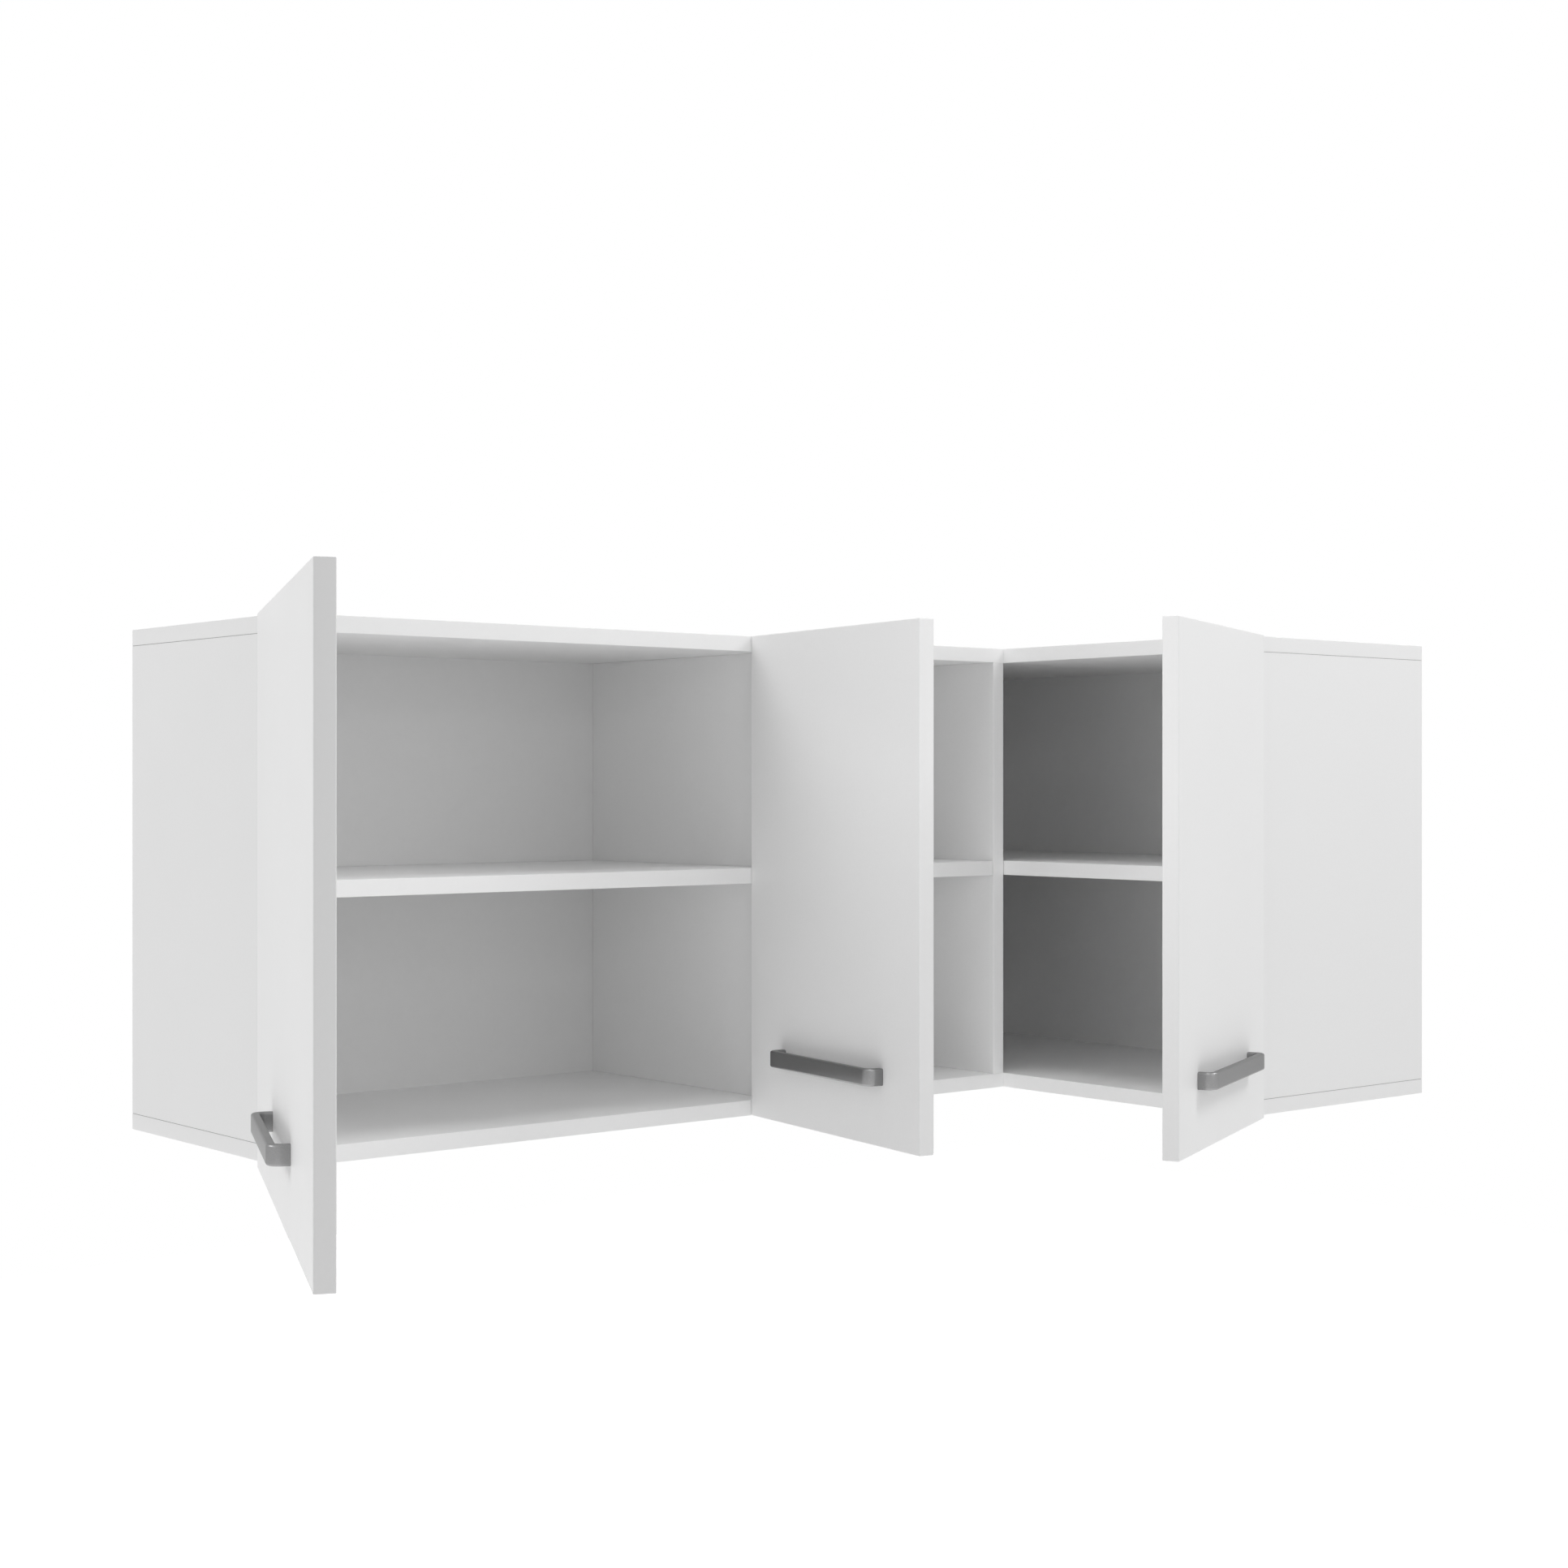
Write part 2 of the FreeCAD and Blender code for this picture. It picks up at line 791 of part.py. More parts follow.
def nail_places():
    inset = (board_thickness + board_thickness - rebate_width) / 2
    into_long = Vector(0, -1, 0)
    into_short = Vector(-1, 0, 0)
    places = []
    for z in (inset, cabinet_height - inset):
        for x in nail_steps(left_x, 0):
            places.append((Vector(x, 0, z), into_long))
        for y in nail_steps(right_y, 0):
            places.append((Vector(0, y, z), into_short))
    return places


def in_notch(place, notches):
    return any(notch.isInside(place, cut_overrun, True) for notch in notches)


def build():
    doors = [wide_door(), narrow_door(), short_wing_door()]
    rebates = back_rebates()
    screws = [confirmat(place, 0) for place in confirmat_places()]
    screw_bores = [confirmat(place, screw_play) for place in confirmat_places()]
    recesses = [cap_recess(place) for place in confirmat_places()]
    notches = [hanger.placed(back_notch()) for hanger in hangers()]
    nails = [(p, a) for p, a in nail_places() if not in_notch(p, notches)]
    nail_bores = [nail(place, axis, screw_play) for place, axis in nails]

    top_cutters = rebates + screw_bores + recesses + nail_bores + notches
    bottom_cutters = rebates + nail_bores
    bottom_cutters += [upside_down(cutter) for cutter in screw_bores + recesses]
    for door in doors:
        hinge_cutters = carcass_hinge_cutters(door)
        top_cutters += hinge_cutters
        bottom_cutters += [upside_down(cutter) for cutter in hinge_cutters]
    export("top_board", [drilled(ell_board(vertical_high, cabinet_height), top_cutters)])
    export("bottom_board", [drilled(ell_board(0, board_thickness), bottom_cutters)])

    narrow_pins = pins_between_boards(divider_right_x, end_panel_x)
    wide_pins = pins_between_boards(left_inner_x, divider_x)
    corner_pins = pins_of_corner_shelf()
    all_pin_bores = pin_bores(wide_pins + narrow_pins + corner_pins)
    side_cutters = rebates + all_pin_bores
    for bore in screw_bores:
        side_cutters += both_levels(bore)
    for hanger in hangers():
        for place in hanger_screw_places():
            side_cutters.append(hanger.placed(hanger_screw(place, screw_play)))

    export("side_left", [drilled(
        vertical_board(left_x, left_inner_x, front_y, 0), side_cutters)])
    export("divider", [drilled(
        vertical_board(divider_x, divider_right_x, front_y, -back_thickness), side_cutters)])
    export("corner_end_panel", [drilled(
        vertical_board(end_panel_x, front_x, front_y, -back_thickness), side_cutters)])
    export("side_right", [drilled(
        vertical_board(front_x, 0, right_y, right_inner_y), side_cutters)])
    export("back_panel_long", [drilled(long_back_panel(), notches + nail_bores)])
    export("back_panel_short", [drilled(short_back_panel(), notches + nail_bores)])

    export("shelf_wide", [shelf(
        left_inner_x, divider_x, front_y, -back_thickness, wide_pins)])
    export("shelf_narrow", [shelf(
        divider_right_x, end_panel_x, front_y, -back_thickness, narrow_pins)])
    export("shelf_corner", [shelf(
        front_x, -back_thickness, right_inner_y + shelf_play, -back_thickness, corner_pins)])
    export("shelf_pins_wide", shelf_pins(wide_pins))
    export("shelf_pins_narrow", shelf_pins(narrow_pins))
    export("shelf_pins_corner", shelf_pins(corner_pins))

    export("confirmat_screws", [s for screw in screws for s in both_levels(screw)])
    export("cover_caps", [c for p in confirmat_places() for c in both_levels(cap(p))])
    export("back_nails", [nail(place, axis, 0) for place, axis in nails])

    for door in doors:
        export_door(door)

    for hanger in hangers():
        export("hanger_" + hanger.name, [hanger.placed(hanger_body())])
        export("hanger_hook_" + hanger.name, [hanger.placed(hanger_hook())])
        export("wall_plate_" + hanger.name, [hanger.placed(wall_plate())])
    hanger_screws = [
        hanger.placed(hanger_screw(place, 0))
        for hanger in hangers() for place in hanger_screw_places()]
    export("hanger_screws", hanger_screws)
    export("hanger_adjusters", [hanger.placed(adjuster()) for hanger in hangers()])


os.makedirs("parts", exist_ok=True)
build()
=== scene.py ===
import math
import bpy
import numpy as np
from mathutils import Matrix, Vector


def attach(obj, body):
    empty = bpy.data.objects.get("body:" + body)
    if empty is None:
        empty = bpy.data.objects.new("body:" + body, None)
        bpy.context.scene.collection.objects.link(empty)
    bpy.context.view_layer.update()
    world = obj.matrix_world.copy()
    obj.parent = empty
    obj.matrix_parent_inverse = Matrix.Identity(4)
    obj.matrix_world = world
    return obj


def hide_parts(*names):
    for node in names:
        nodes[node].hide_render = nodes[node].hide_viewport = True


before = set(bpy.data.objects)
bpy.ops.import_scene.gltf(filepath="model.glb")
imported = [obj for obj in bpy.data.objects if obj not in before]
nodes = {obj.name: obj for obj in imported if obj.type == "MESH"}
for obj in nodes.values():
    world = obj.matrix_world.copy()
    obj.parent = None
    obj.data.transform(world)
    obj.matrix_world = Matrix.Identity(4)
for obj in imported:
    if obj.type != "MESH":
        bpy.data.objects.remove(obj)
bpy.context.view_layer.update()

print("loaded", len(nodes), "nodes")

mm = 0.001  # the cabinet's sizes are in millimetres; the camera and the lamps are in metres

# The carcass, from the corner of the walls, underside at 0. The longer wing ends at left, the
# shorter one at right.
carcass = {
    "left": -1230.0, "right": -660.0, "depth": 320.0, "height": 500.0, "board": 16.0,
    "dividerLeft": -668.91, "shelfLow": 242.0,
}

# Each door shut, in its own frame: x along the door from the origin, y back into the cabinet.
# first and last are its hinge edge and its free edge along x. It is stored open, turned by its
# angle in degrees about the pivot.
doors = {
    "left": {
        "origin": (-1230.0, -320.0), "mirrored": False, "first": 1.0, "last": 566.59,
        "pivot": (5.0, 8.0), "angle": 113.8, "body": "left_door"},
    "middle": {
        "origin": (-668.91, -320.0), "mirrored": False, "first": 8.0, "last": 328.91,
        "pivot": (0.2, 3.5), "angle": 100.0, "body": "middle_door"},
    "right": {
        "origin": (-320.0, -660.0), "mirrored": True, "first": 1.0, "last": 320.0,
        "pivot": (5.0, 8.0), "angle": 115.0, "body": "right_door"},
}
doorFace = {"outer": -18.0, "inner": -2.0}  # the two faces along y


def linear(hexColour):
    # an sRGB hex colour as linear light: divided by 12.92 near black, a power of 2.4 above it
    parts = [int(hexColour[i:i + 2], 16) / 255 for i in (1, 3, 5)]
    light = [p / 12.92 if p <= 0.04045 else ((p + 0.055) / 1.055) ** 2.4 for p in parts]
    return (*light, 1.0)


def addNode(tree, kind, settings=None, values=None, links=None):
    # a socket is named, or numbered where two share a name: the colours of a Mix node are 6
    # and 7, and its result is 2
    node = tree.nodes.new(kind)
    for name, value in (settings or {}).items():
        setattr(node, name, value)
    for name, value in (values or {}).items():
        node.inputs[name].default_value = value
    for name, source in (links or {}).items():
        tree.links.new(source, node.inputs[name])
    return node


def newMaterial(name):  # a material with an empty node tree
    material = bpy.data.materials.new(name)
    material.use_nodes = True
    material.node_tree.nodes.clear()
    return material, material.node_tree


# Melamine paper pressed on chipboard: the press plate leaves a fine pearl, so the white is
# satin with soft broken highlights. The pearl is about 1 mm, drawn at 2.5 mm so that it shows.
melamine = {"light": "#FAFAFA", "dark": "#F5F5F5", "pearlMm": 2.5, "pearlHeightMm": 0.03,
            "roughness": 0.46, "roughnessSpread": 0.06, "ior": 1.5}
# The pattern that all the whites share: the pearl, and wide clouds that vary its gloss
pearlPattern = {"detail": 3.0, "grain": 0.6, "bump": 0.35,
                "cloudMm": 60.0, "cloudDetail": 2.0, "cloudLow": 0.3, "cloudHigh": 0.7}


def melamineMaterial(name, look):
    material, tree = newMaterial(name)
    place = addNode(tree, "ShaderNodeTexCoord").outputs["Object"]
    pearl = addNode(tree, "ShaderNodeTexNoise", {}, {
        "Scale": 1 / (look["pearlMm"] * mm), "Detail": pearlPattern["detail"],
        "Roughness": pearlPattern["grain"]}, {"Vector": place})
    cloud = addNode(tree, "ShaderNodeTexNoise", {}, {
        "Scale": 1 / (pearlPattern["cloudMm"] * mm), "Detail": pearlPattern["cloudDetail"]},
        {"Vector": place})
    colour = addNode(tree, "ShaderNodeMix", {"data_type": "RGBA"}, {
        6: linear(look["dark"]), 7: linear(look["light"])}, {"Factor": pearl.outputs["Fac"]})
    spread = look["roughnessSpread"]
    rough = addNode(tree, "ShaderNodeMapRange", {}, {
        "From Min": pearlPattern["cloudLow"], "From Max": pearlPattern["cloudHigh"],
        "To Min": look["roughness"] - spread, "To Max": look["roughness"] + spread},
        {"Value": cloud.outputs["Fac"]})
    bump = addNode(tree, "ShaderNodeBump", {}, {
        "Strength": pearlPattern["bump"], "Distance": look["pearlHeightMm"] * mm},
        {"Height": pearl.outputs["Fac"]})
    shader = addNode(tree, "ShaderNodeBsdfPrincipled", {}, {"IOR": look["ior"]}, {
        "Base Color": colour.outputs[2], "Roughness": rough.outputs["Result"],
        "Normal": bump.outputs["Normal"]})
    addNode(tree, "ShaderNodeOutputMaterial", {}, {}, {"Surface": shader.outputs["BSDF"]})
    return material


# Thin hardboard: one face is lacquered white, the other is raw pressed fibre, brown and
# flecked, with the fine mesh that the press screen leaves. The fibre shows up to rawFrom from
# the wall.
hardboard = {"white": "#F5F5F5", "whiteDark": "#F0F0F0", "fibre": "#94724C", "fibreDark": "#5E452C",
             "fleckMm": 9.0, "fleckDetail": 8.0, "fleckGrain": 0.75,
             "screenMm": 2.4, "screenUneven": 0.15, "screenBump": 0.5, "screenHeightMm": 0.2,
             "rawFrom": 0.6, "roughness": 0.5, "rawRoughness": 0.9, "ior": 1.5}


def hardboardMaterial(name, look, wallAxis):
    material, tree = newMaterial(name)
    place = addNode(tree, "ShaderNodeTexCoord").outputs["Object"]
    parts = addNode(tree, "ShaderNodeSeparateXYZ", {}, {}, {"Vector": place})
    rawSide = addNode(tree, "ShaderNodeMath", {"operation": "GREATER_THAN"},
                      {1: -look["rawFrom"] * mm}, {0: parts.outputs[wallAxis]})
    fleck = addNode(tree, "ShaderNodeTexNoise", {}, {
        "Scale": 1 / (look["fleckMm"] * mm), "Detail": look["fleckDetail"],
        "Roughness": look["fleckGrain"]}, {"Vector": place})
    screen = addNode(tree, "ShaderNodeTexVoronoi", {"feature": "F1"}, {
        "Scale": 1 / (look["screenMm"] * mm), "Randomness": look["screenUneven"]},
        {"Vector": place})
    raw = addNode(tree, "ShaderNodeMix", {"data_type": "RGBA"}, {
        6: linear(look["fibreDark"]), 7: linear(look["fibre"])}, {"Factor": fleck.outputs["Fac"]})
    white = addNode(tree, "ShaderNodeMix", {"data_type": "RGBA"}, {
        6: linear(look["whiteDark"]), 7: linear(look["white"])}, {"Factor": fleck.outputs["Fac"]})
    colour = addNode(tree, "ShaderNodeMix", {"data_type": "RGBA"}, {}, {
        "Factor": rawSide.outputs[0], 6: white.outputs[2], 7: raw.outputs[2]})
    rough = addNode(tree, "ShaderNodeMapRange", {}, {
        "To Min": look["roughness"], "To Max": look["rawRoughness"]},
        {"Value": rawSide.outputs[0]})
    height = addNode(tree, "ShaderNodeMath", {"operation": "MULTIPLY"}, {}, {
        0: screen.outputs["Distance"], 1: rawSide.outputs[0]})
    bump = addNode(tree, "ShaderNodeBump", {}, {
        "Strength": look["screenBump"], "Distance": look["screenHeightMm"] * mm},
        {"Height": height.outputs[0]})
    shader = addNode(tree, "ShaderNodeBsdfPrincipled", {}, {"IOR": look["ior"]}, {
        "Base Color": colour.outputs[2], "Roughness": rough.outputs["Result"],
        "Normal": bump.outputs["Normal"]})
    addNode(tree, "ShaderNodeOutputMaterial", {}, {}, {"Surface": shader.outputs["BSDF"]})
    return material


# Die-cast zinc with a fine blasted nickel skin: a dull grey metal whose highlight spreads
# wide and is broken by grit of about 0.3 mm, drawn at 1 mm so that it shows. Seen at a grazing
# angle the skin returns only the part grazing of the light.
castMetal = {"light": "#989898", "dark": "#848485", "roughness": 0.32, "grazing": 0.72,
             "gritMm": 1.0, "gritHeightMm": 0.02, "gritDetail": 4.0, "gritGrain": 0.6,
             "gritBump": 0.4}


def castMetalMaterial(name, look):
    material, tree = newMaterial(name)
    place = addNode(tree, "ShaderNodeTexCoord").outputs["Object"]
    grit = addNode(tree, "ShaderNodeTexNoise", {}, {
        "Scale": 1 / (look["gritMm"] * mm), "Detail": look["gritDetail"],
        "Roughness": look["gritGrain"]}, {"Vector": place})
    colour = addNode(tree, "ShaderNodeMix", {"data_type": "RGBA"}, {
        6: linear(look["dark"]), 7: linear(look["light"])}, {"Factor": grit.outputs["Fac"]})
    bump = addNode(tree, "ShaderNodeBump", {}, {
        "Strength": look["gritBump"], "Distance": look["gritHeightMm"] * mm},
        {"Height": grit.outputs["Fac"]})
    shader = addNode(tree, "ShaderNodeBsdfPrincipled", {}, {
        "Metallic": 1.0, "Roughness": look["roughness"],
        "Specular Tint": (look["grazing"],) * 3 + (1.0,)}, {
        "Base Color": colour.outputs[2], "Normal": bump.outputs["Normal"]})
    addNode(tree, "ShaderNodeOutputMaterial", {}, {}, {"Surface": shader.outputs["BSDF"]})
    return material


# Bright zinc on turned or pressed steel: a pale metal with faint cloudy spangles a few
# millimetres wide, the dark ones a little smoother and the light ones a little rougher
zincSteel = {"light": "#C9CBCE", "dark": "#B4B7BA", "spangleMm": 5.0, "roughness": 0.32,
             "smoother": 0.06, "rougher": 0.08}


def zincMaterial(name, look):
    material, tree = newMaterial(name)
    place = addNode(tree, "ShaderNodeTexCoord").outputs["Object"]
    spangle = addNode(tree, "ShaderNodeTexVoronoi", {"feature": "F1"}, {
        "Scale": 1 / (look["spangleMm"] * mm)}, {"Vector": place})
    grey = addNode(tree, "ShaderNodeRGBToBW", {}, {}, {"Color": spangle.outputs["Color"]})
    colour = addNode(tree, "ShaderNodeMix", {"data_type": "RGBA"}, {
        6: linear(look["dark"]), 7: linear(look["light"])}, {"Factor": grey.outputs["Val"]})
    rough = addNode(tree, "ShaderNodeMapRange", {}, {
        "To Min": look["roughness"] - look["smoother"],
        "To Max": look["roughness"] + look["rougher"]}, {"Value": grey.outputs["Val"]})
    shader = addNode(tree, "ShaderNodeBsdfPrincipled", {}, {"Metallic": 1.0}, {
        "Base Color": colour.outputs[2], "Roughness": rough.outputs["Result"]})
    addNode(tree, "ShaderNodeOutputMaterial", {}, {}, {"Surface": shader.outputs["BSDF"]})
    return material


# Injection-moulded ABS, spark-eroded mould: even white with a fine matt grain, drawn at 1 mm
mouldedAbs = {"light": "#EEEEEC", "dark": "#E4E4E1", "pearlMm": 1.0, "pearlHeightMm": 0.04,
              "roughness": 0.55, "roughnessSpread": 0.03, "ior": 1.53}
# Edge band of the same white in ABS, milled flush: smoother and a little glossier than the paper
edgeAbs = {"light": "#F9F9F9", "dark": "#F6F6F6", "pearlMm": 4.0, "pearlHeightMm": 0.01,
           "roughness": 0.38, "roughnessSpread": 0.03, "ior": 1.53}
# Soft clear polyurethane bumpers, milky where they are thick
bumperGel = {"light": "#DCDCD8", "dark": "#D2D2CE", "pearlMm": 3.0, "pearlHeightMm": 0.01,
             "roughness": 0.25, "roughnessSpread": 0.02, "ior": 1.48}
# Painted shade: a grey hairline in a joint, standing in for the shadow in the joint's gap
paintedJointShade = {"light": "#A5A5A5", "dark": "#939393", "pearlMm": 1.5, "pearlHeightMm": 0.01,
            "roughness": 0.7, "roughnessSpread": 0.02, "ior": 1.5}

finishes = {
    "melamine": melamineMaterial("WhiteMelamine", melamine),
    "abs": melamineMaterial("MouldedAbs", mouldedAbs),
    "edge": melamineMaterial("EdgeAbs", edgeAbs),
    "bumper": melamineMaterial("BumperGel", bumperGel),
    # the joint hairlines: painted shade for the shadow in the joints
    "jointShade": melamineMaterial("PaintedJointShade", paintedJointShade),
    "metal": castMetalMaterial("BlastedCastMetal", castMetal),
    "zinc": zincMaterial("ZincSteel", zincSteel),
    "backLong": hardboardMaterial("HardboardLong", hardboard, "Y"),
    "backShort": hardboardMaterial("HardboardShort", hardboard, "X"),
}


def finishOf(name):  # the finish of a CAD node, by what the piece is
    if name == "back_panel_long":
        return "backLong"
    if name == "back_panel_short":
        return "backShort"
    if name.startswith(("handle_screws", "carcass_lea", "door_lea", "pivot_pins", "shelf_pins")):
        return "zinc"
    if name.startswith(("hanger_hook", "wall_plate")) or name in (
            "hanger_screws", "hanger_adjusters", "confirmat_screws", "back_nails"):
        return "zinc"
    if name.startswith("handle"):
        return "metal"
    if name.startswith("hanger") or name == "cover_caps":
        return "abs"
    if name.startswith("buffers"):
        return "bumper"
    return "melamine"


for name, piece in nodes.items():
    for slot in piece.material_slots:
        slot.material = finishes[finishOf(name)]
print("finishes on", len(nodes), "nodes")

sharpAngle = 35  # degrees between two faces, above which their edge isn't shaded smooth


def surface(name, grids, finish, body, flip=False):
    # each grid of points is a closed tube with its rows along it and its columns round it: a
    # quad for each cell, the last column joined to the first, and one face over each end.
    # All the grids of a piece go into one mesh.
    faces, offset = [], 0
    for points in grids:
        rows, columns = points.shape[:2]
        index = np.arange(rows * columns).reshape(rows, columns) + offset
        offset += rows * columns
        loop = np.hstack([index, index[:, :1]])
        quads = np.stack([loop[:-1, :-1], loop[1:, :-1], loop[1:, 1:], loop[:-1, 1:]], axis=-1)
        faces += quads.reshape(-1, 4).tolist()
        faces += [index[0].tolist(), index[-1, ::-1].tolist()]
    if flip:
        faces = [face[::-1] for face in faces]
    mesh = bpy.data.meshes.new(name)
    mesh.from_pydata(np.concatenate([g.reshape(-1, 3) for g in grids]).tolist(), [], faces)
    mesh.update()
    piece = bpy.data.objects.new(name, mesh)
    bpy.context.scene.collection.objects.link(piece)
    mesh.polygons.foreach_set("use_smooth", np.ones(len(mesh.polygons), dtype=bool))
    mesh.set_sharp_from_angle(angle=math.radians(sharpAngle))
    mesh.materials.append(finish)
    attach(piece, body)
    return piece


def opened(points, door):
    # shut-door millimetres to metres at the stored angle: turn about the pivot, swap x and y
    # on the mirrored door, then add the door's origin
    turn = math.radians(door["angle"])
    px, py = door["pivot"]
    x, y = points[..., 0] - px, points[..., 1] - py
    turnedX = px + x * math.cos(turn) + y * math.sin(turn)
    turnedY = py - x * math.sin(turn) + y * math.cos(turn)
    if door["mirrored"]:
        turnedX, turnedY = turnedY, turnedX
    ox, oy = door["origin"]
    return np.stack([turnedX + ox, turnedY + oy, points[..., 2]], axis=-1) * mm


# The bow handle: a flat bar that turns into two thicker legs
handle = {"length": 194.0, "height": 16.5, "projection": 18.0, "bar": 7.4, "leg": 9.0,
          "outerRadius": 11.0, "innerRadius": 4.0, "edge": 2.0, "centre": 67.0,
          "bendSteps": 14, "barSteps": 24, "edgeSteps": 6}


def bentLine(end, front, radius, start, steps, middleX, barSteps):
    # from the door's face at x = end straight out, round a quarter circle, and on to the middle:
    # on the circle x = end + radius (1 - cos turn) and y = front + radius (1 - sin turn)
    turn = np.linspace(0, math.pi / 2, steps)
    side = 1 if middleX > end else -1
    arcX = end + side * radius * (1 - np.cos(turn))
    arcY = front + radius * (1 - np.sin(turn))
    along = np.linspace(arcX[-1], middleX, barSteps)[1:]
    x = np.concatenate([[end, end], arcX, along])
    y = np.concatenate([[start, (start + arcY[0]) / 2], arcY, np.full(barSteps - 1, front)])
    return np.stack([x, y], axis=-1)


def handlePoints(door, look):
    # an outer and an inner bent line from leg to leg, and round them the section: in plan the
    # middle of the two lines plus a times half their distance, and b above the handle's centre
    first = (door["first"] + door["last"] - look["length"]) / 2
    last = first + look["length"]
    middle = (first + last) / 2
    face = doorFace["outer"]
    front = face - look["projection"]
    back = front + look["bar"]
    args = (face, look["bendSteps"], middle, look["barSteps"])
    outerA = bentLine(first, front, look["outerRadius"], *args)
    innerA = bentLine(first + look["leg"], back, look["innerRadius"], *args)
    outerB = bentLine(last, front, look["outerRadius"], *args)[::-1][1:]
    innerB = bentLine(last - look["leg"], back, look["innerRadius"], *args)[::-1][1:]
    outer, inner = np.vstack([outerA, outerB]), np.vstack([innerA, innerB])
    centre, half = (outer + inner) / 2, (outer - inner) / 2
    # (a, b) goes round a rectangle with round corners, their circles r in from each side
    halfHeight, r = look["height"] / 2, look["edge"]
    quarter = np.linspace(0, math.pi / 2, look["edgeSteps"])
    starts = np.repeat(np.arange(4) * math.pi / 2, look["edgeSteps"])
    angle = starts + np.tile(quarter, 4)
    signA = np.repeat([1, -1, -1, 1], look["edgeSteps"])
    signB = np.repeat([1, 1, -1, -1], look["edgeSteps"])
    width = np.linalg.norm(half, axis=1)[:, None]
    a = signA * (1 - r / width) + np.cos(angle) * r / width
    b = signB * (halfHeight - r) + np.sin(angle) * r
    plan = centre[:, None, :] + half[:, None, :] * a[..., None]
    z = np.broadcast_to(look["centre"] + b, a.shape)
    return np.dstack([plan, z])


for name, door in doors.items():
    bow = surface("bowHandle_" + name, [opened(handlePoints(door, handle), door)],
                  finishes["metal"], door["body"], flip=door["mirrored"])
    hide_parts("handle_" + name)
print("handles done")

# Screws with a cross recess. A screw is a profile of (radius, height) pairs turned about its
# axis; inside the recess the head sinks by the cross's depth, shallower towards its ends.
screws = {
    "pan": {"head": 2.2, "cross": 2.2, "slot": 0.8, "sink": 1.3,
            "profile": [(2.6, 1.95), (3.3, 1.6), (3.8, 1.0), (4.0, 0.4), (4.0, 0.0),
                        (2.0, 0.0), (2.0, -27.0)]},
    "leaf": {"head": 0.0, "cross": 1.9, "slot": 0.65, "sink": 1.0,
             "profile": [(2.95, 0.0), (3.0, -0.05), (1.6, -1.8), (1.6, -12.0)]},
    "hanger": {"head": 0.0, "cross": 2.3, "slot": 0.8, "sink": 1.2,
               "profile": [(3.5, 0.0), (3.6, -0.1), (3.6, -2.0), (2.0, -2.0), (2.0, -29.0)]},
    "adjuster": {"head": 2.0, "cross": 2.4, "slot": 0.9, "sink": 1.1,
                 "profile": [(3.3, 2.0), (3.5, 1.8), (3.5, 0.0)]},
}
# A face of radius axis closes both ends, and the head's rings reach a little past the cross
screwMesh = {"turnSteps": 48, "headSteps": 12, "edge": 0.12, "taper": 0.35, "axis": 0.05,
             "reach": 1.1}


def turnedScrew(look):
    # x = radius cos turn, y = radius sin turn, z = height minus the recess. The recess is the
    # cross's depth where x or y is within half a slot of the axis, inside the cross's radius.
    edge, axis = screwMesh["edge"], screwMesh["axis"]
    top = np.linspace(axis, look["cross"] * screwMesh["reach"], screwMesh["headSteps"])
    rest = np.array(look["profile"] + [(axis, look["profile"][-1][1])])
    radius = np.concatenate([top, rest[:, 0]])
    height = np.concatenate([np.full(len(top), look["head"]), rest[:, 1]])
    turn = np.arange(screwMesh["turnSteps"]) / screwMesh["turnSteps"] * 2 * math.pi
    x, y = radius[:, None] * np.cos(turn), radius[:, None] * np.sin(turn)
    reach = np.hypot(x, y)
    inSlot = np.clip((look["slot"] / 2 - np.minimum(abs(x), abs(y))) / edge + 0.5, 0, 1)
    inCross = np.clip((look["cross"] - reach) / edge / 2, 0, 1)
    onHead = (np.arange(len(radius)) < len(top))[:, None]
    depth = look["sink"] * inSlot * inCross * (1 - screwMesh["taper"] * reach / look["cross"])
    return np.stack([x, y, height[:, None] - depth * onHead], axis=-1)


def laid(shape, point, out):
    # the screw's own axis is laid on the outward direction, right-handed
    out = np.array(out, dtype=float)
    across = np.cross((0.0, 0.0, 1.0) if out[2] == 0 else (0.0, 1.0, 0.0), out)
    return (np.array(point) + shape[..., 0:1] * across + shape[..., 1:2] * np.cross(out, across)
            + shape[..., 2:3] * out)


# Where the hinge leaves hold their screws, in the door's own frame
hinge = {"leafStart": {"left": 14.11, "middle": 8.3, "right": 14.26}, "leafMiddle": -10.0,
         "tongue": 3.5, "play": 0.3, "first": 16.0, "spacing": 22.0}

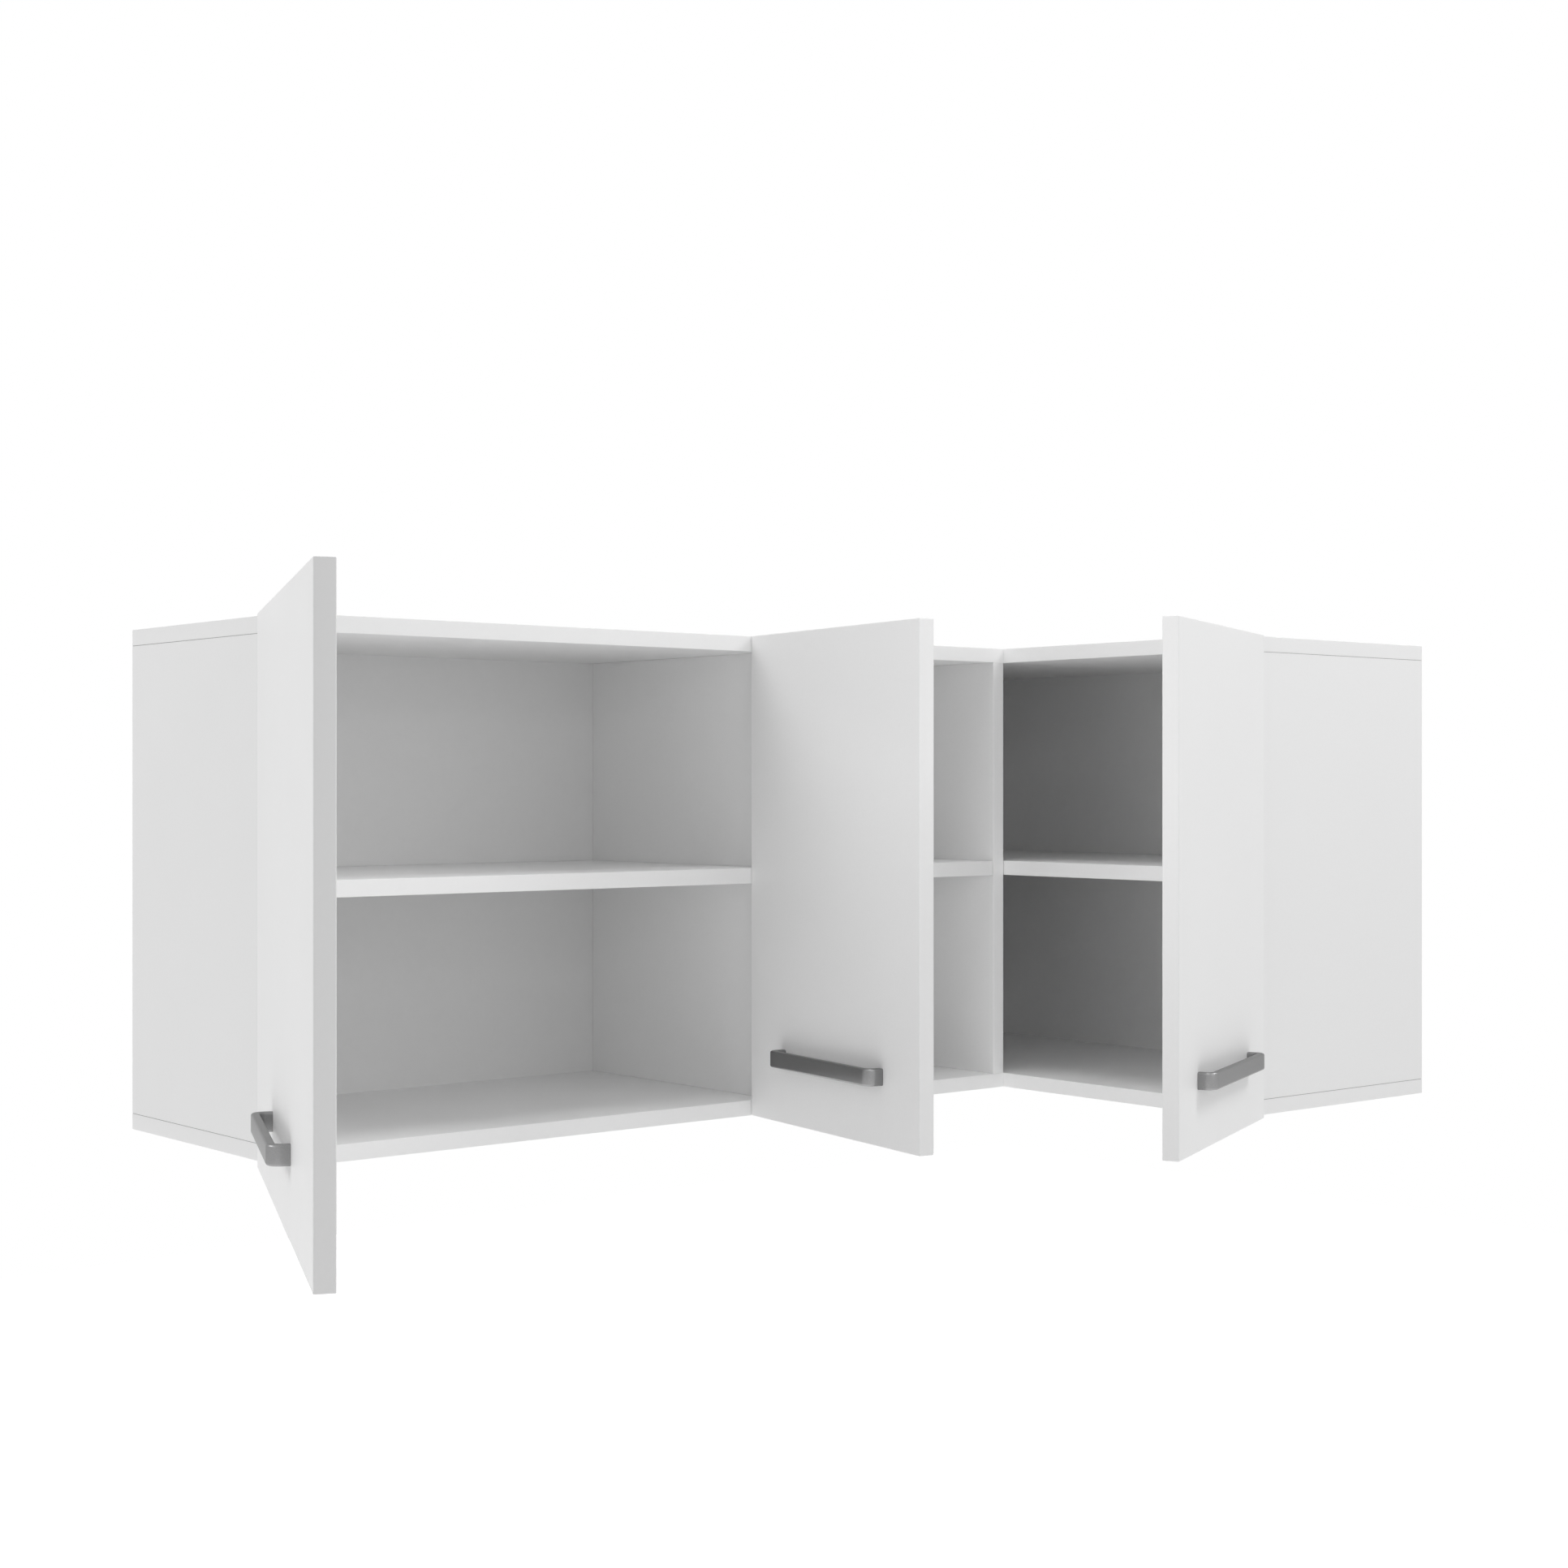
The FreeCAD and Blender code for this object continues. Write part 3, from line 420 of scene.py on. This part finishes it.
# Two screws in each leaf, at the top and at the bottom, and one in each leg of the handle
for name, door in doors.items():
    doorLeaf = max(door["pivot"][0], door["first"] + hinge["play"] + hinge["tongue"])
    carcassLeaf = hinge["leafStart"][name]
    shape = turnedScrew(screws["leaf"])
    inDoor, inCarcass = [], []
    for n in range(2):
        step = hinge["first"] + n * hinge["spacing"]
        for z, up in ((carcass["height"], 1.0), (0.0, -1.0)):
            inDoor.append(laid(shape, (doorLeaf + step, hinge["leafMiddle"], z), (0, 0, up)))
            inCarcass.append(laid(shape, (door["pivot"][0], carcassLeaf + step, z), (0, 0, up)))
    piece = surface("doorLeafScrews_" + name, [opened(g, door) for g in inDoor],
                    finishes["zinc"], door["body"], flip=door["mirrored"])
    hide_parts("door_leaf_screws_" + name)
    shut = {**door, "angle": 0.0}
    piece = surface("carcassLeafScrews_" + name, [opened(g, shut) for g in inCarcass],
                    finishes["zinc"], "cabinet", flip=door["mirrored"])
    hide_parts("carcass_leaf_screws_" + name)
    legs = ((door["first"] + door["last"] - handle["length"] + handle["leg"]) / 2,
            (door["first"] + door["last"] + handle["length"] - handle["leg"]) / 2)
    shape = turnedScrew(screws["pan"])
    heads = [laid(shape, (x, doorFace["inner"], handle["centre"]), (0, 1, 0)) for x in legs]
    piece = surface("handleScrews_" + name, [opened(g, door) for g in heads],
                    finishes["zinc"], door["body"], flip=door["mirrored"])
    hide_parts("handle_screws_" + name)

# The screws of the three hangers: two hold each housing, one adjusts its hook. A hanger is laid
# out for the left side: x from the board into the room, y to the wall, z 0 under the top board.
hanger = {"width": 17.0, "depth": 52.0, "height": 58.0, "back": -6.7, "screwInset": 11.0}
hangers = {"left": (carcass["left"] + carcass["board"], 0.0),
           "corner": (-carcass["depth"] - carcass["board"], 0.0),
           "right": (0.0, carcass["right"] + carcass["board"])}


def hung(points, origin, turned):
    # mirrored in x at the corner, x and y swapped on the shorter wing, then moved to its board
    x, y, z = points[..., 0], points[..., 1], points[..., 2]
    if turned == "right":
        x, y = y, x
    if turned == "corner":
        x = -x
    z = z + carcass["height"] - carcass["board"]
    return np.stack([x + origin[0], y + origin[1], z], axis=-1) * mm


holding, adjusting = [], []
for turned, origin in hangers.items():
    columns = slice(None) if turned == "left" else slice(None, None, -1)  # keeps the faces outwards
    middle = hanger["back"] - hanger["depth"] / 2
    for z in (-hanger["screwInset"], -hanger["height"] + hanger["screwInset"]):
        screw = laid(turnedScrew(screws["hanger"]), (hanger["width"], middle, z), (1, 0, 0))
        holding.append(hung(screw, origin, turned)[:, columns])
    screw = laid(turnedScrew(screws["adjuster"]), (
        hanger["width"] / 2, hanger["back"] - hanger["depth"], -hanger["height"] / 2), (0, -1, 0))
    adjusting.append(hung(screw, origin, turned)[:, columns])
for name, node, grids in (("hangerScrews", "hanger_screws", holding),
                          ("hangerAdjusters", "hanger_adjusters", adjusting)):
    piece = surface(name, grids, finishes["zinc"], "cabinet")
    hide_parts(node)
print("screws done")

# Edge bands: a strip of ABS, very slightly crowned, on each cut edge that shows. It stops short
# of the edges of the board by the ease, and where a hinge is let in by the notch's depth. The
# notches are from and to along an edge, the divider's from the divider.
band = {"proud": 0.12, "crownSteps": 9, "crownPower": 10, "boardEase": 0.8, "doorEase": 1.2,
        "leafRoom": 6.0, "shelfEnd": 2.3, "cornerShelfBack": 1.0, "notchDepth": 3.0,
        "frontNotch": (-1.0, 10.0), "dividerNotch": (-4.5, 17.0), "sideNotch": (-1.0, 16.0)}


def strip(start, end, across, out, low, high):
    # a ruled strip from start to end, from low to high across; its face stands proud by
    # 1 - t to the crown's power, so it falls to the board within the last few tenths of a
    # millimetre at both sides. Its back, flat on the board, closes it.
    t = np.linspace(-1, 1, band["crownSteps"])
    t = (t ** 3 + t) / 2
    place = (low + high) / 2 + t * (high - low) / 2
    rise = band["proud"] * (1 - np.abs(t) ** band["crownPower"])
    start, end, across, out = (np.array(v, dtype=float) for v in (start, end, across, out))
    points = (np.stack([start, end])[:, None, :] + place[None, :, None] * across
              + rise[None, :, None] * out)
    outwards = np.dot(np.cross(end - start, across), out) > 0
    return points if outwards else points[:, ::-1]


def boardEdge(start, end, out, notches):
    # the cut edge of the top board and of the bottom board, in one strip from each notch's end
    # to the next
    start, end = np.array(start, dtype=float), np.array(end, dtype=float)
    length = np.linalg.norm(end - start)
    along = (end - start) / length
    inside = {min(max(mark, ease), length - ease) for notch in notches for mark in notch}
    stations = sorted({ease, length - ease} | inside)
    strips = []
    for a, b in zip(stations[:-1], stations[1:]):
        notched = any(notch[0] < (a + b) / 2 < notch[1] for notch in notches)
        low, high = ease, thick - (band["notchDepth"] if notched else ease)
        run = (start + along * a, start + along * b, (0, 0, 1), out)
        strips.append(strip(*run, underTop + low, underTop + high))
        strips.append(strip(*run, thick - high, thick - low))
    return strips


left, right, depth, thick = carcass["left"], carcass["right"], carcass["depth"], carcass["board"]
divider, shelf = carcass["dividerLeft"], carcass["shelfLow"]
ease, underTop = band["boardEase"], carcass["height"] - thick
dividerNotch = tuple(divider - left + mark for mark in band["dividerNotch"])
runs = boardEdge((left, -depth, 0), (-depth, -depth, 0), (0, -1, 0),
                 [band["frontNotch"], dividerNotch])
runs += boardEdge((-depth, right, 0), (-depth, -depth, 0), (-1, 0, 0), [band["frontNotch"]])
runs += boardEdge((left, -depth, 0), (left, 0, 0), (-1, 0, 0), [band["sideNotch"]])
runs += boardEdge((-depth, right, 0), (0, right, 0), (0, -1, 0), [band["sideNotch"]])
# The front edges of the upright boards: left side, divider, corner end panel, right side
uprightEdges = [((x, -depth), (1, 0, 0), (0, -1, 0)) for x in (left, divider, -depth - thick)]
uprightEdges.append(((-depth, right), (0, 1, 0), (-1, 0, 0)))
for (x, y), across, out in uprightEdges:
    runs.append(strip((x, y, thick + ease), (x, y, underTop - ease), across, out,
                      ease, thick - ease))
shelfFront = band["cornerShelfBack"] - depth
shelfEdges = [((left + thick, -depth), (divider, -depth), (0, -1, 0)),
              ((divider + thick, -depth), (-depth - thick, -depth), (0, -1, 0)),
              ((shelfFront, right + thick), (shelfFront, -depth), (-1, 0, 0))]
for (ax, ay), (bx, by), out in shelfEdges:
    along = np.sign([bx - ax, by - ay, 0.0]) * band["shelfEnd"]
    start, end = np.array([ax, ay, shelf]) + along, np.array([bx, by, shelf]) - along
    runs.append(strip(start, end, (0, 0, 1), out, ease, thick - ease))
surface("edgeBands_cabinet", [g * mm for g in runs], finishes["edge"], "cabinet")
for name, door in doors.items():
    low, high = doorFace["outer"] + band["doorEase"], doorFace["inner"] - band["doorEase"]
    upright = []
    for x, side in ((door["first"], -1.0), (door["last"], 1.0)):
        gap = band["leafRoom"] if side < 0 else band["doorEase"]  # the hinge leaves are let in here
        upright.append(strip((x, 0, gap), (x, 0, carcass["height"] - gap), (0, 1, 0),
                             (side, 0, 0), low, high))
    surface("edgeBands_" + name, [opened(g, door) for g in upright], finishes["edge"],
            door["body"], flip=door["mirrored"])
print("edge bands done")

# Where the side boards are glued to the top and bottom boards, a grey hairline of painted shade
# stands in for the shadow in the joint's gap
joint = {"width": 0.4, "inset": 1.5, "proud": 0.03}
inset, halfWidth = joint["inset"], joint["width"] / 2
sides = (((left, -depth + inset), (left, -inset), (-1, 0, 0)),
         ((-depth + inset, right), (-inset, right), (0, -1, 0)))
lines = []
for level in (thick, underTop):
    for start, end, out in sides:
        line = strip((*start, level), (*end, level), (0, 0, 1), out, -halfWidth, halfWidth)
        lines.append(line - np.array(out) * (band["proud"] - joint["proud"]))
# the hairlines carry the painted joint shade
surface("jointLines", [g * mm for g in lines], finishes["jointShade"], "cabinet")
print("joint lines done")

# Camera at the photograph's place: level, 55 mm lens on a 36 mm square
view = {"place": (-2.2731, -2.2673, 0.3458), "towards": (0.6411, 0.7675, 0.0), "lens": 55.2,
        "sensor": 36.0}
cameraData = bpy.data.cameras.new("photoCamera")
cameraData.lens = view["lens"]
cameraData.sensor_width = view["sensor"]
camera = bpy.data.objects.new("photoCamera", cameraData)
camera.location = view["place"]
camera.rotation_euler = Vector(view["towards"]).to_track_quat("-Z", "Y").to_euler()
bpy.context.scene.collection.objects.link(camera)
bpy.context.scene.camera = camera

# A plain studio: white to the camera, soft light for the object from all sides and the floor
studio = {"sky": 0.3, "white": 1.0, "floor": "#F2F2F2", "floorGlow": 0.46, "floorDrop": 1.4,
          "floorHalf": 6.0}


def plainView(tree):
    # 1 for rays that show the studio itself: from the camera, off a glossy face, through glass
    path = addNode(tree, "ShaderNodeLightPath")
    direct = addNode(tree, "ShaderNodeMath", {"operation": "MAXIMUM"}, {}, {
        0: path.outputs["Is Camera Ray"], 1: path.outputs["Is Glossy Ray"]})
    return addNode(tree, "ShaderNodeMath", {"operation": "MAXIMUM"}, {}, {
        0: direct.outputs[0], 1: path.outputs["Is Transmission Ray"]})


world = bpy.data.worlds.new("studio")
bpy.context.scene.world = world
world.use_nodes = True
tree = world.node_tree
tree.nodes.clear()
seen = plainView(tree)
ambient = addNode(tree, "ShaderNodeBackground", {}, {
    "Color": (1, 1, 1, 1), "Strength": studio["sky"]})
white = addNode(tree, "ShaderNodeBackground", {}, {
    "Color": (1, 1, 1, 1), "Strength": studio["white"]})
blend = addNode(tree, "ShaderNodeMixShader", {}, {}, {
    0: seen.outputs[0], 1: ambient.outputs[0], 2: white.outputs[0]})
addNode(tree, "ShaderNodeOutputWorld", {}, {}, {"Surface": blend.outputs[0]})

floorMaterial, tree = newMaterial("StudioFloor")
seen = plainView(tree)
glow = addNode(tree, "ShaderNodeMath", {"operation": "MAXIMUM"}, {1: studio["floorGlow"]}, {
    0: seen.outputs[0]})
paint = addNode(tree, "ShaderNodeBsdfDiffuse", {}, {"Color": linear(studio["floor"])})
lift = addNode(tree, "ShaderNodeEmission", {}, {"Color": (1, 1, 1, 1)}, {
    "Strength": glow.outputs[0]})
both = addNode(tree, "ShaderNodeAddShader", {}, {}, {0: paint.outputs[0], 1: lift.outputs[0]})
addNode(tree, "ShaderNodeOutputMaterial", {}, {}, {"Surface": both.outputs[0]})
floorMesh = bpy.data.meshes.new("floor")
far, drop = studio["floorHalf"], -studio["floorDrop"]
corners = [(-far, -far, drop), (far, -far, drop), (far, far, drop), (-far, far, drop)]
floorMesh.from_pydata(corners, [], [(0, 1, 2, 3)])
floor = bpy.data.objects.new("floor", floorMesh)
bpy.context.scene.collection.objects.link(floor)
floor.data.materials.append(floorMaterial)

# Soft boxes: place, aim, size in metres and power in watts. The large ones light the sides, the
# doors and the front edges, the three fills reach between the open doors, the spark gives the
# handles their glints, and the back box, too low to shine on the top board, the wall sides.
lamps = {
    "leftBox": {"place": (-4.2, -0.9, 1.3), "aim": (-0.9, -0.3, 0.25), "size": 1.8, "power": 3.3},
    "leftBackBox": {
        "place": (-3.6, 0.5, 1.7), "aim": (-0.9, -0.3, 0.25), "size": 1.2, "power": 22.3},
    "rightBox": {"place": (-0.2, -4.2, 1.2), "aim": (-0.6, -0.3, 0.25), "size": 1.8, "power": 9.9},
    "highRightBox": {
        "place": (0.6, -1.8, 1.9), "aim": (-0.8, -0.3, 0.25), "size": 0.8, "power": 15.6},
    "overheadBox": {
        "place": (-0.8, -0.6, 2.4), "aim": (-0.8, -0.4, 0.25), "size": 1.0, "power": 12.4},
    "frontFill": {
        "place": (-1.0, -1.1, 0.5), "aim": (-0.2, -0.45, 0.3), "size": 0.4, "power": 0.31},
    "frontHighFill": {
        "place": (-0.95, -1.1, 0.95), "aim": (-0.3, -0.45, 0.4), "size": 0.5, "power": 0.32},
    "cornerFill": {
        "place": (-0.56, -0.63, 0.25), "aim": (-0.05, -0.4, 0.2), "size": 0.25, "power": 0.1},
    "spark": {"place": (-1.9, -2.5, 0.9), "aim": (-0.8, -0.4, 0.25), "size": 0.2, "power": 1.3},
    "backBox": {"place": (2.6, 3.0, 0.05), "aim": (-0.4, -0.2, 0.25), "size": 1.8, "power": 45.0},
}
for name, lamp in lamps.items():
    light = bpy.data.lights.new(name, "AREA")
    light.size = lamp["size"]
    light.energy = lamp["power"]
    lampObject = bpy.data.objects.new(name, light)
    lampObject.location = lamp["place"]
    aim = Vector(lamp["aim"]) - Vector(lamp["place"])
    lampObject.rotation_euler = aim.to_track_quat("-Z", "Y").to_euler()
    lampObject.visible_camera = False
    bpy.context.scene.collection.objects.link(lampObject)
bpy.context.scene.view_settings.view_transform = "Standard"
print("studio done")
